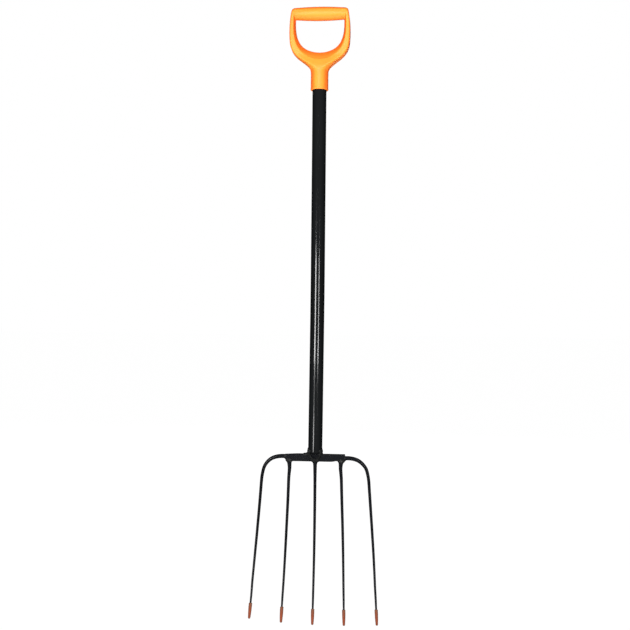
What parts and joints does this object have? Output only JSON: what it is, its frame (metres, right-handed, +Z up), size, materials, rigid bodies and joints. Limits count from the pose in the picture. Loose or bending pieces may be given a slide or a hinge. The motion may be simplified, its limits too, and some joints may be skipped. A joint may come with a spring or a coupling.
{
  "type": "digging fork",
  "caption": "Long-handled garden fork with a D-grip, a bent tube shaft, a welded head of slim curved tines, and pull-off tip guards.",
  "frame": {"origin": "on the ground under the middle of the whole tool's box, with the tines pointing down", "axes": "+Z up along the shaft from the tips to the grip, -Y the hollow (front) side of the tines, +X to the right seen from the front"},
  "size_m": [0.2545, 0.0739, 1.219],
  "materials": {
    "orange_plastic": "satin moulded plastic, orange",
    "painted_tube": "black powder coat, satin",
    "painted_head": "black paint over forged steel",
    "painted_weld": "black paint over a rough weld",
    "screw_steel": "zinc plated, dulled",
    "guard_plastic": "soft terracotta plastic"
  },
  "bodies": {
    "fork": {"d_handle": "orange_plastic", "handle_screw": "screw_steel", "shaft_tube": "painted_tube", "shaft_weld": "painted_weld", "head_crossbar": "painted_head", "tine_outer_left": "painted_head", "tine_inner_left": "painted_head", "tine_center": "painted_head", "tine_inner_right": "painted_head", "tine_outer_right": "painted_head", "weld_outer_left": "painted_weld", "weld_inner_left": "painted_weld", "weld_center": "painted_weld", "weld_inner_right": "painted_weld", "weld_outer_right": "painted_weld"},
    "guard_outer_left": {"tip_guard_outer_left": "guard_plastic"},
    "guard_inner_left": {"tip_guard_inner_left": "guard_plastic"},
    "guard_center": {"tip_guard_center": "guard_plastic"},
    "guard_inner_right": {"tip_guard_inner_right": "guard_plastic"},
    "guard_outer_right": {"tip_guard_outer_right": "guard_plastic"}
  },
  "joints": [
    {"name": "guard_outer_left_slide", "type": "slide", "parent": "fork", "child": "guard_outer_left", "axis": [-0.0555, -0.2247, -0.9728], "range_m": [0, 0.034]},
    {"name": "guard_inner_left_slide", "type": "slide", "parent": "fork", "child": "guard_inner_left", "axis": [-0.0292, -0.225, -0.9739], "range_m": [0, 0.034]},
    {"name": "guard_center_slide", "type": "slide", "parent": "fork", "child": "guard_center", "axis": [0, -0.2251, -0.9743], "range_m": [0, 0.034]},
    {"name": "guard_inner_right_slide", "type": "slide", "parent": "fork", "child": "guard_inner_right", "axis": [0.0292, -0.225, -0.9739], "range_m": [0, 0.034]},
    {"name": "guard_outer_right_slide", "type": "slide", "parent": "fork", "child": "guard_outer_right", "axis": [0.0603, -0.2247, -0.9726], "range_m": [0, 0.034]}
  ]
}
